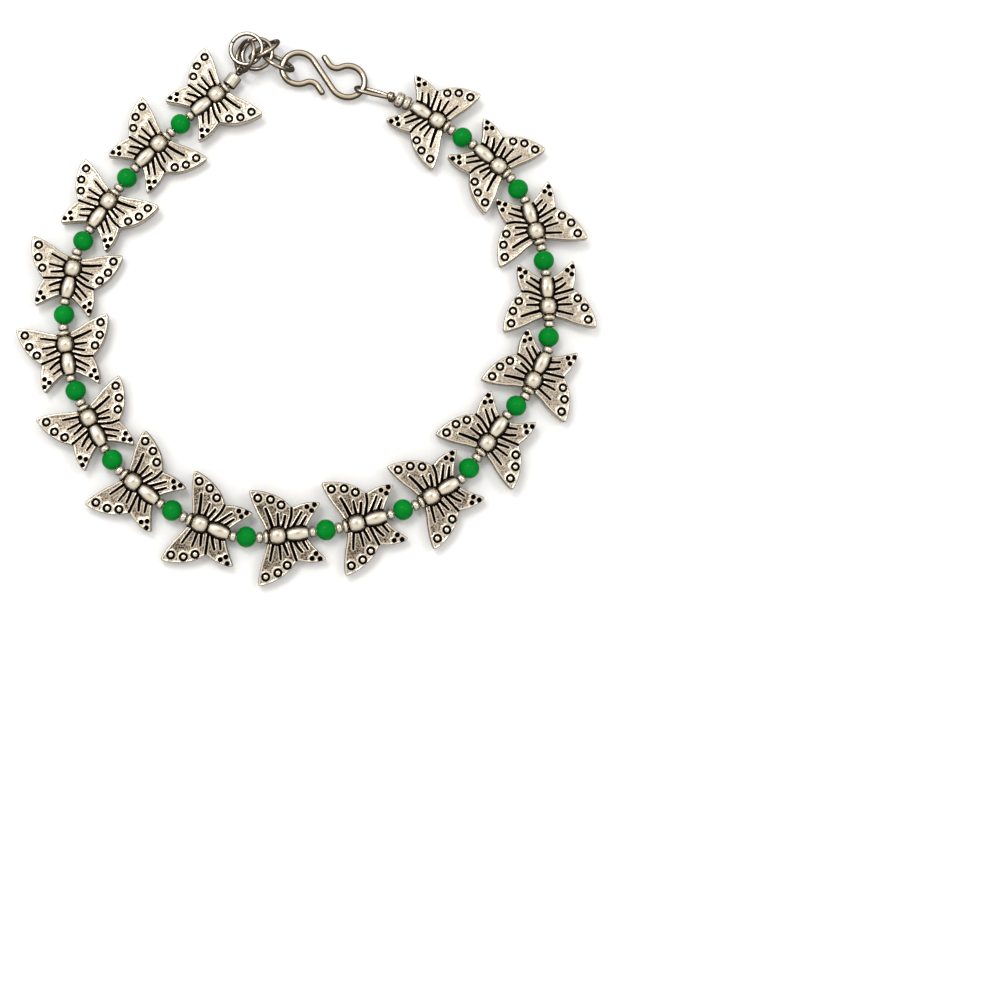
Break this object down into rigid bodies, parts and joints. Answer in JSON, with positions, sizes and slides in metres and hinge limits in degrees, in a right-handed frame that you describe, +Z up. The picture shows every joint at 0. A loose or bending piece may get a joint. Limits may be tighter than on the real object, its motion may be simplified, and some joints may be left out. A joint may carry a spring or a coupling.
{
  "type": "payal anklet",
  "caption": "Anklet of silver butterflies strung between round green beads, closed by an S-shaped hook and small jump rings.",
  "frame": {"origin": "on the table, under the middle of the whole anklet as it lies closed", "axes": "+Z up from the table, +Y towards the clasp, +X to the right seen from above"},
  "size_m": [0.1034, 0.1006, 0.0058],
  "materials": {
    "antique_silver": "antiqued silver, dark in the hollows, bright on the raised parts",
    "spacer_silver": "antiqued silver, bright on the rims",
    "bright_silver": "worn silver with small dark pits",
    "wire_silver": "drawn wire, lightly darkened silver",
    "green_glass": "glossy, opaque green"
  },
  "bodies": {
    "root": {"butterfly_01": "antique_silver", "butterfly_02": "antique_silver", "butterfly_03": "antique_silver", "butterfly_04": "antique_silver", "butterfly_05": "antique_silver", "butterfly_06": "antique_silver", "butterfly_07": "antique_silver", "butterfly_08": "antique_silver", "butterfly_09": "antique_silver", "butterfly_10": "antique_silver", "butterfly_11": "antique_silver", "butterfly_12": "antique_silver", "butterfly_13": "antique_silver", "butterfly_14": "antique_silver", "butterfly_15": "antique_silver", "butterfly_16": "antique_silver", "butterfly_17": "antique_silver", "green_bead_01": "green_glass", "green_bead_02": "green_glass", "green_bead_03": "green_glass", "green_bead_04": "green_glass", "green_bead_05": "green_glass", "green_bead_06": "green_glass", "green_bead_07": "green_glass", "green_bead_08": "green_glass", "green_bead_09": "green_glass", "green_bead_10": "green_glass", "green_bead_11": "green_glass", "green_bead_12": "green_glass", "green_bead_13": "green_glass", "green_bead_14": "green_glass", "green_bead_15": "green_glass", "green_bead_16": "green_glass", "string_with_spacers": "spacer_silver", "cylinder_bead": "bright_silver", "outer_disc": "bright_silver", "inner_disc": "bright_silver", "left_eye": "wire_silver", "right_eye": "wire_silver", "s_hook": "wire_silver", "jump_ring_1": "wire_silver", "jump_ring_2": "wire_silver", "jump_ring_3": "wire_silver", "jump_ring_4": "wire_silver", "jump_ring_5": "wire_silver"}
  },
  "joints": []
}
